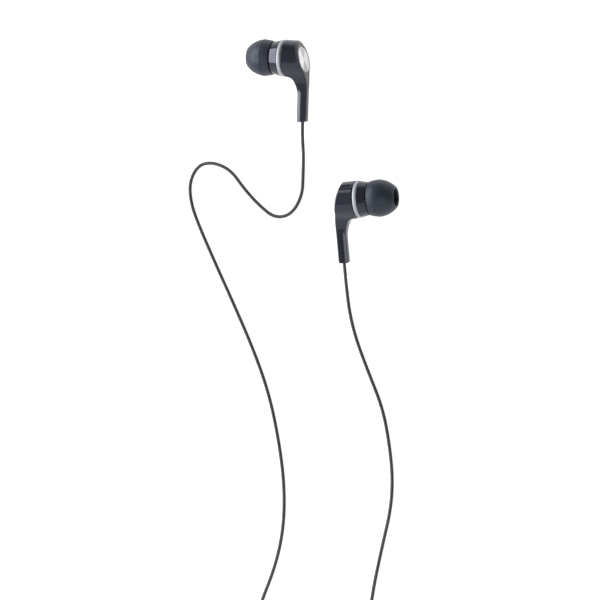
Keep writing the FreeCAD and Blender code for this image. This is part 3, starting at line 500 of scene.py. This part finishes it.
def shape_points(distance, low, high, step):
    """An even mesh on a distance's zero surface: relaxed, then settled onto it."""
    points, faces = net(distance, low, high, step)
    edges = np.concatenate([faces[:, [i, (i + 1) % 4]] for i in range(4)])
    count = np.bincount(edges[:, 0], minlength=len(points))[:, None]
    points = settle(points, distance, 2)
    for _ in range(3):
        total = np.zeros_like(points)
        np.add.at(total, edges[:, 0], points[edges[:, 1]])
        points = (1 - EASE) * points + EASE * total / np.maximum(count, 1)
        points = settle(points, distance, 1)
    return settle(points, distance, 1), faces


def shaped(name, distance, low, high, step, slot, place, *nodes):
    """A piece of the body in the form of a distance, drawn between two corners."""
    points, faces = shape_points(distance, low, high, step)
    return new_piece(name, points.tolist(), faces.tolist(), slot, BODY, place, *nodes)


# ---------------------------------------------------------------- turned pieces of a bud

FRONT_HOUSING = [
    (-1.65, 4.55), (-1.65, 5.05), (0.6, 5.05), (0.6, 5.63), (0.72, 5.75), (3.05, 5.28, 0.45, -1),
    (3.47, 4.83), (4.4, 3.0, 0.5, 1), (4.75, 2.6), (7.4, 2.6), (7.55, 2.35), (8.1, 2.35), (8.25, 2.6),
    (8.8, 2.6, 0.2, -1), (9.0, 2.4), (9.0, 1.9), (8.6, 1.9), (8.6, 1.65), (4.2, 1.65), (2.8, 4.0),
    (2.8, 4.55)]
EAR_TIP = [
    (3.7, 4.9), (3.7, 5.25, 0.15, -1), (3.85, 5.4, 7.0, -1), (6.1, 5.8), (6.22, 5.7),
    (6.38, 5.91, 8.0, -1), (10.2, 4.8, 8.2, -1), (11.96, 3.4, 0.44, -1), (11.66, 2.65), (4.95, 2.65),
    (4.95, 3.35), (9.0, 3.35, 0.8, 1), (9.6, 4.25), (7.4, 5.23, 12, 1)]
TRIM_RING = [(-0.6, 5.05), (-0.6, 5.7, 1.0, -1), (0.6, 5.7), (0.6, 5.05)]
BADGE_RADIUS, BADGE_Y, BADGE_SINK, BADGE_GAP = 4.15, -0.2, 0.34, 0.03
BADGE = [
    (0, 0), (0, BADGE_RADIUS), (0.32, BADGE_RADIUS), (0.4, 4.07), (0.4, 3.87), (0.37, 3.83),
    (0.37, 3.75), (0.39, 3.71), (0.36, 0.5), (0.36, 0)]
FACET = math.radians(14)
FACET_X, FACET_Y = -5.38, 5.4
BADGE_CENTRE = Vector((FACET_X - (FACET_Y - BADGE_Y) * math.tan(FACET), BADGE_Y, 0))


def make_turned_pieces(side, place):
    lathe("front_shell_" + side, FRONT_HOUSING, "gloss_black", BODY, place, "front_housing_" + side)
    lathe("metal_ring_" + side, TRIM_RING, "trim_metal", BODY, place, "trim_ring_" + side)
    lathe("soft_tip_" + side, EAR_TIP, "silicone", "ear_tip_" + side, place, "ear_tip_" + side)
    outward = Matrix.Rotation(math.pi - FACET, 4, "Z")
    seat = BADGE_CENTRE - outward.to_3x3() @ Vector((BADGE_SINK, 0, 0))
    disc = place @ Matrix.Translation(seat * MM) @ outward
    lathe("spun_badge_" + side, BADGE, "badge_metal", BODY, disc, "badge_" + side, edge=0.02)


# ---------------------------------------------------------------- rear housing and back cover

REAR_START, REAR_RADIUS, REAR_TAPER = -0.85, 5.78, 0.0695
STEP_START, STEP_RADIUS = -0.6, 5.45
STEM_BACK, STEM_BOTTOM, STEM_HALF = -8.5, -20.1, 1.4
STEM_SIDE_CURVE, STEM_SIDE_RADIUS = 11.5, 5.25
NECK_X, NECK_Y, NECK_CURVE, LONG_CURVE = -1.25, -5.62, 3.24, 9.5
NECK_SPLIT = math.radians(90 + 62)
NECK_CENTRE = Vector((NECK_X, NECK_Y - NECK_CURVE))
LONG_CENTRE = NECK_CENTRE - (LONG_CURVE - NECK_CURVE) * Vector((math.cos(NECK_SPLIT), math.sin(NECK_SPLIT)))
STEM_CHAMFER, STEM_CHAMFER_SIDE = 1.1, 0.4
CHAMFER_TOP, CHAMFER_FADE, CHAMFER_LIFT = -7.5, 3, 0.9
BACK_BEVEL, BACK_BEVEL_SIDE = 0.35, 0.55
CAVITY_RADIUS, CAVITY_END = 4.55, -4.6
SPIGOT_RADIUS, SPIGOT_END = 5.05, -1.65
CABLE_X, CABLE_BORE, CABLE_TOP = -6.9, 0.62, -5.0
COVER_HALF, COVER_CURVE, COVER_RADIUS = 0.95, 6.0, 4.75
COVER_BOTTOM, COVER_DEPTH, COVER_GAP = -19.6, 0.6, 0.04
NECK_FRONT = -1.6


def rear_wall(x, y, z):
    """How far a point is outside the tapered barrel."""
    return np.hypot(y, z) - (REAR_RADIUS + (x - REAR_START) * REAR_TAPER)


def barrel(x, y, z):
    """Tapered barrel, with the thin step behind the trim ring."""
    wall = common(rear_wall(x, y, z), x - REAR_START, 0.14)
    return np.minimum(wall, common(np.hypot(y, z) - STEP_RADIUS, x - STEP_START, 0.05))


def back_surface(x, y):
    """How far a point is outside the sloped facet and the stem's back."""
    facet = (y - FACET_Y) * math.sin(FACET) - (x - FACET_X) * math.cos(FACET)
    return common(facet, STEM_BACK - x, 0.59)


def front_surface(x, y):
    """How far a point is in front of the stem and of the hollow curve under the barrel."""
    angle = np.arctan2(y - NECK_CENTRE.y, x - NECK_CENTRE.x)
    near = NECK_CURVE - np.hypot(x - NECK_CENTRE.x, y - NECK_CENTRE.y)
    far = LONG_CURVE - np.hypot(x - LONG_CENTRE.x, y - LONG_CENTRE.y)
    curve = np.where((angle > NECK_SPLIT) | (angle < 0), far, near)
    curve = np.where((angle >= 0) & (angle < math.pi / 2), NECK_Y - y, curve)
    return np.where(y < LONG_CENTRE.y, x - (LONG_CENTRE.x - LONG_CURVE), curve)


def strip_and_disc(y, z, half_width, curve, radius):
    """How far a point is outside a strip that flares into a disc, in the back view."""
    across = np.abs(z)
    strip_y = -math.sqrt((radius + curve) ** 2 - (half_width + curve) ** 2)
    centre = (strip_y, half_width + curve)
    flare = curve - np.hypot(y - centre[0], across - centre[1])
    disc = np.hypot(y, across) - radius
    meet = math.atan2(centre[1], centre[0])
    side = np.where(np.arctan2(across, y) > meet, flare, disc)
    return np.where(y < strip_y, across - half_width, side)


def outer_form(x, y, z):
    """Barrel, neck and stem as one smooth moulding, cut off by the back surface."""
    front, back = front_surface(x, y), back_surface(x, y)
    side = strip_and_disc(y, z, STEM_HALF, STEM_SIDE_CURVE, STEM_SIDE_RADIUS)
    lower_end = STEM_BOTTOM - y
    faded = 1 - np.clip((CHAMFER_TOP - y) / CHAMFER_FADE, 0, 1)
    edge = chamfer(front, side, STEM_CHAMFER, STEM_CHAMFER_SIDE) - faded * CHAMFER_LIFT
    neck = common(common(front, side, 0.3), edge, 0.12)
    neck = np.maximum(common(neck, lower_end, 0.45), x - NECK_FRONT)
    form = common(blend(barrel(x, y, z), neck, 1.5), back, 0.06)
    nearest = np.minimum(rear_wall(x, y, z), side)
    form = common(form, chamfer(back, nearest, BACK_BEVEL, BACK_BEVEL_SIDE), 0.06)
    return common(form, common(lower_end, back, 1.1), 0.02)


def rear_shell(x, y, z):
    """The outer form without its cavity, its cable bore and the seat of the back cover."""
    reach = np.hypot(y, z)
    cavity = np.minimum(np.maximum(reach - CAVITY_RADIUS, CAVITY_END - x),
                        np.maximum(reach - SPIGOT_RADIUS, SPIGOT_END - x))
    bore = np.maximum(np.hypot(x - CABLE_X, z) - CABLE_BORE, y - CABLE_TOP)
    seat = np.maximum(strip_and_disc(y, z, COVER_HALF, COVER_CURVE, COVER_RADIUS), COVER_BOTTOM - y)
    seat = np.maximum(seat, -COVER_DEPTH - back_surface(x, y))
    return np.maximum(np.maximum(outer_form(x, y, z), -cavity), np.maximum(-bore, -seat))


def back_plate(x, y, z):
    """The cover in the sloped back and down the stem, with the badge's round seat."""
    back = back_surface(x, y)
    face = strip_and_disc(y, z, COVER_HALF - COVER_GAP, COVER_CURVE, COVER_RADIUS - COVER_GAP)
    edge = common(face, COVER_BOTTOM + COVER_GAP - y, 0.5)
    plate = common(common(edge, back, 0.14), -COVER_DEPTH - back, 0.05)
    along = (x - BADGE_CENTRE.x) * -math.cos(FACET) + (y - BADGE_CENTRE.y) * math.sin(FACET)
    middle = (x - BADGE_CENTRE.x) ** 2 + (y - BADGE_CENTRE.y) ** 2 + z ** 2
    reach = np.sqrt(np.maximum(middle - along ** 2, 0))
    return common(plate, -np.maximum(reach - BADGE_RADIUS - BADGE_GAP, -BADGE_SINK - along), 0.05)


def make_rear_pieces(side, place):
    step = 0.12
    shaped("rear_shell_" + side, rear_shell, (-8.8, -20.4, -6.2), (-0.3, 6.3, 6.2), step,
           "gloss_black", place, "rear_housing_" + side)
    shaped("back_plate_" + side, back_plate, (-8.8, -19.9, -5.2), (-5.0, 5.4, 5.2), step,
           "back_plate", place, "back_cover_" + side)


for side in SIDES:
    place = bud_matrix(side)
    make_turned_pieces(side, place)
    make_rear_pieces(side, place)


# ---------------------------------------------------------------- splitter, plug and strap

SPLITTER_CENTRE = (-6, -218, 0)
PLUG_SPOT = (24, -267, 3)
ALONG_LEAD = Matrix.Rotation(-math.pi / 2, 4, "Z")
SPLITTER_HALF_LENGTH, SPLITTER_HALF_HEIGHT = 6.5, 1.5
SPLITTER_NARROW, SPLITTER_TAPER_START, SPLITTER_TAPER = 1.7, -3.5, 4.5
MOUTH_X, MOUTH_BORE, MOUTH_DEPTH = 1.25, 0.62, 2.8
OUTLET_BORE = 1.03
GROOVE_Y, GROOVE_SIZE = 4.6, 0.16


def at(spot, turn=Matrix()):
    return Matrix.Translation(Vector(spot) * MM) @ turn


def splitter_form(x, y, z):
    """Soft-edged moulding, narrower towards the lead, with a mouth for each branch."""
    share = np.clip((y - SPLITTER_TAPER_START) / SPLITTER_TAPER, 0, 1)
    width = SPLITTER_NARROW + share * share * (3 - 2 * share)
    up = z - SPLITTER_HALF_HEIGHT
    form = common(np.abs(x) - width, np.abs(up) - SPLITTER_HALF_HEIGHT, 1.3)
    form = common(form, np.abs(y) - SPLITTER_HALF_LENGTH, 0.9)
    mouth = np.maximum(np.hypot(np.abs(x) - MOUTH_X, up) - MOUTH_BORE, MOUTH_DEPTH - y)
    outlet = np.maximum(np.hypot(x, up) - OUTLET_BORE, y + MOUTH_DEPTH)
    groove = np.maximum(np.abs(np.abs(y) - GROOVE_Y) - GROOVE_SIZE, -form - GROOVE_SIZE)
    return common(form, -np.minimum(np.minimum(mouth, outlet), groove), 0.12)


RIB_DEPTH = 0.24


def relief_outline(length, root, end, inner=1.0, ribs=6):
    """A sleeve round the lead with soft ribs, thinner to its end."""
    corners = [(0, inner), (0, root)]
    pitch = length / ribs
    for number in range(ribs):
        top = root + (end - root) * (number + 0.3) / ribs
        start = number * pitch
        corners += [(start + 0.12 * pitch, top, 0.35 * pitch, -1), (start + 0.55 * pitch, top - 0.04),
                    (start + 0.68 * pitch, top - RIB_DEPTH), (start + 0.9 * pitch, top - RIB_DEPTH)]
    return corners + [(length - 0.05, end - 0.05), (length, end - 0.15), (length, inner)]


PLUG = {
    "plug_tip": ("gold", [
        (-6.4, 0), (-6.4, 0.5), (11.4, 0.5), (11.4, 1.75), (11.8, 1.75), (12.5, 1.25, 1.0, 1),
        (13.3, 1.6, 1.5, -1), (14.7, 0.5), (14.8, 0.3), (14.8, 0)]),
    "plug_ring": ("gold", [
        (-4.2, 0.8), (-4.2, 1.05), (8.4, 1.05), (8.4, 1.75), (10.7, 1.75), (10.7, 0.8)]),
    "plug_sleeve": ("gold", [
        (-1.5, 1.3), (-1.5, 1.55), (0, 1.55), (0, 2.3), (0.6, 2.3, 0.2, -1), (0.8, 2.1), (0.8, 1.75),
        (7.7, 1.75), (7.7, 1.3)]),
    "plug_insulator_front": ("insulator", [
        (-5.2, 0.5), (-5.2, 0.8), (10.7, 0.8), (10.7, 1.74), (11.4, 1.74), (11.4, 0.5)]),
    "plug_insulator_rear": ("insulator", [
        (-3, 1.05), (-3, 1.3), (7.7, 1.3), (7.7, 1.74), (8.4, 1.74), (8.4, 1.05)]),
    "plug_grip": ("moulded_black", [
        (-18, 1.0), (-18, 1.9, 0.3, -1), (-17.7, 2.2, 14, 1), (-14.6, 2.46), (-14.4, 2.36), (-14.1, 2.36),
        (-13.9, 2.56), (-12.0, 2.98, 60, -1), (-1.9, 3.0), (-1.75, 2.88), (-1.5, 2.88), (-1.35, 3.0),
        (-0.6, 2.95, 0.6, -1), (0, 2.3), (0, 2.0), (-9, 2.0), (-9, 1.0)]),
}


GRIP_LENGTH = 18


def make_plug():
    """The plug's contacts, insulators and grip, and the ribbed sleeve behind the grip."""
    place = at(PLUG_SPOT, ALONG_LEAD)
    pieces = [lathe(name + "_look", corners, slot, BODY, place, name, sides=72, edge=0.03)
              for name, (slot, corners) in PLUG.items()]
    rear = place @ Matrix.Translation((-GRIP_LENGTH * MM, 0, 0)) @ Matrix.Rotation(math.pi, 4, "Z")
    relief = lathe("plug_relief_look", relief_outline(9, 1.9, 1.35), "moulded_black", BODY, rear,
                   "plug_relief", sides=56, edge=0.04)
    return pieces + [relief]


def make_splitter():
    step = 0.15
    body = shaped("splitter_look", splitter_form, (-3.2, -7, -0.4), (3.2, 7, 3.4), step,
                  "moulded_black", at(SPLITTER_CENTRE), "splitter")
    spot = Vector(SPLITTER_CENTRE) + Vector((0, -SPLITTER_HALF_LENGTH, SPLITTER_HALF_HEIGHT))
    relief = lathe("splitter_relief_look", relief_outline(6, 1.5, 1.3, ribs=4), "moulded_black", BODY,
                   at(spot, ALONG_LEAD), "splitter_relief", sides=56, edge=0.04)
    return [body, relief]


STRAP_HALF, STRAP_WALL = 2.25, 0.4
LAP_HALF, LAP_WALL = 2.1, 0.3


def strap_loop(wall):
    """The strap's outline round the wound cord, as (x, z) points."""
    left, right, low, high = -16.05 - wall, -7.65 + wall, 0.45 - wall, 6.55 + wall
    turn = 0.8 + wall
    return outline([
        (left + turn, low), (right - turn, low, turn, 1), (right, low + turn), (right, high - turn, turn, 1),
        (right - turn, high), (left + turn, high, turn, 1), (left, high - turn), (left, low + turn, turn, 1)])


def make_strap():
    """A soft strap round the coil, its free end lapped over the top and slightly lifted."""
    inner, outer = strap_loop(0), strap_loop(STRAP_WALL)
    count = len(inner)
    points = [(x, y, z) for y in (-STRAP_HALF, STRAP_HALF) for x, z in inner + outer]
    faces = []
    for i in range(count):
        j = (i + 1) % count
        near, far = 0, 2 * count
        faces += [(near + i, near + j, far + j, far + i),
                  (near + count + j, near + count + i, far + count + i, far + count + j),
                  (near + j, near + i, near + count + i, near + count + j),
                  (far + i, far + j, far + count + j, far + count + i)]
    centre = Vector(COIL_CENTRE) / MM
    strap = new_piece("strap", points, faces, "tie", BODY, at(centre), "cable_tie")
    round_edges(strap, 0.12)
    path = [(-15.3, 6.98), (-13, 6.98), (-11, 7.0), (-9.6, 7.08), (-8.9, 7.22)]
    lap = [(x, y, z + lift) for lift in (0, LAP_WALL) for x, z in path for y in (-LAP_HALF, LAP_HALF)]
    ring = []
    last = len(path) - 1
    for i in range(last):
        a, b = 2 * i, 2 * len(path) + 2 * i
        ring += [(a, a + 1, a + 3, a + 2), (b + 1, b, b + 2, b + 3),
                 (a, a + 2, b + 2, b), (a + 3, a + 1, b + 1, b + 3)]
    a, b = 0, 2 * len(path)
    ring += [(a + 1, a, b, b + 1), (a + 2 * last, a + 2 * last + 1, b + 2 * last + 1, b + 2 * last)]
    lapped = new_piece("strap_end", lap, ring, "tie", BODY, at(centre), "cable_tie")
    round_edges(lapped, 0.1)
    return [strap, lapped]


def cad_nodes(*names):
    return [frame["nodes"][name] for name in names]


def declare_cords():
    """Makes the splitter, the plug and the strap, and lists them with the CAD nodes that go with them."""
    joint = make_splitter() + cad_nodes("solder_joints")
    plug = make_plug() + make_strap() + cad_nodes("plug_core", "plug_lead_end")


declare_cords()


# ---------------------------------------------------------------- floor and light

def make_floor():
    """A pale sheet, lit a little from below."""
    data = bpy.data.meshes.new("floor")
    reach = 4.0
    data.from_pydata([(-reach, -reach, 0), (reach, -reach, 0), (reach, reach, 0), (-reach, reach, 0)],
                     [], [(0, 1, 2, 3)])
    floor = bpy.data.objects.new("floor", data)
    data.materials.append(surface(
        "floor", (0.34, 0.34, 0.34), (0.36, 0.36, 0.36), (0.7, 0.8), 3, Specular_IOR_Level=0.1,
        Emission_Color=(1, 1, 1, 1), Emission_Strength=0.86))
    scene.collection.objects.link(floor)


def make_light(name, place, tilt, size, radiance):
    """A soft rectangular light, tilted about X and Y, in degrees."""
    data = bpy.data.lights.new(name, "AREA")
    data.shape = "RECTANGLE"
    data.size, data.size_y = size
    data.energy = radiance * math.pi * size[0] * size[1]
    light = bpy.data.objects.new(name, data)
    light.location = place
    light.rotation_euler = [math.radians(angle) for angle in tilt]
    scene.collection.objects.link(light)


def make_world():
    """A dim ceiling, brighter walls and a bright side towards -Y."""
    world = bpy.data.worlds.new("studio")
    world.use_nodes = True
    nodes, links = world.node_tree.nodes, world.node_tree.links
    background = nodes["Background"]
    background.inputs["Color"].default_value = (1, 1, 1, 1)
    direction = nodes.new("ShaderNodeTexCoord")
    parts = nodes.new("ShaderNodeSeparateXYZ")
    links.new(direction.outputs["Generated"], parts.inputs["Vector"])
    x, y, z = parts.outputs
    ceiling = spread(nodes, links, x, -0.50, -0.25, 0.80, 0.30)
    side = spread(nodes, links, y, -0.55, -0.50, 1.30, 0.0)
    walls = spread(nodes, links, z, 0.10, 0.35, 1.0, 0.0)
    strength = combined(nodes, links, "MAXIMUM", combined(nodes, links, "MAXIMUM", ceiling, side), walls)
    links.new(strength, background.inputs["Strength"])
    scene.world = world


make_floor()
make_world()
make_light("key_light", (-0.803, 0.34, 0.61), (0, -52.2, 0), (0.60, 1.66), 6.5)
make_light("fill_light", (0.433, -0.38, 0.84), (22.6, 26.6, 0), (0.36, 0.44), 3.4)
make_light("strip_light", (-0.46, 0.62, 0.61), (-46, -37, 0), (0.26, 0.05), 3.0)
scene.view_settings.view_transform = "Standard"
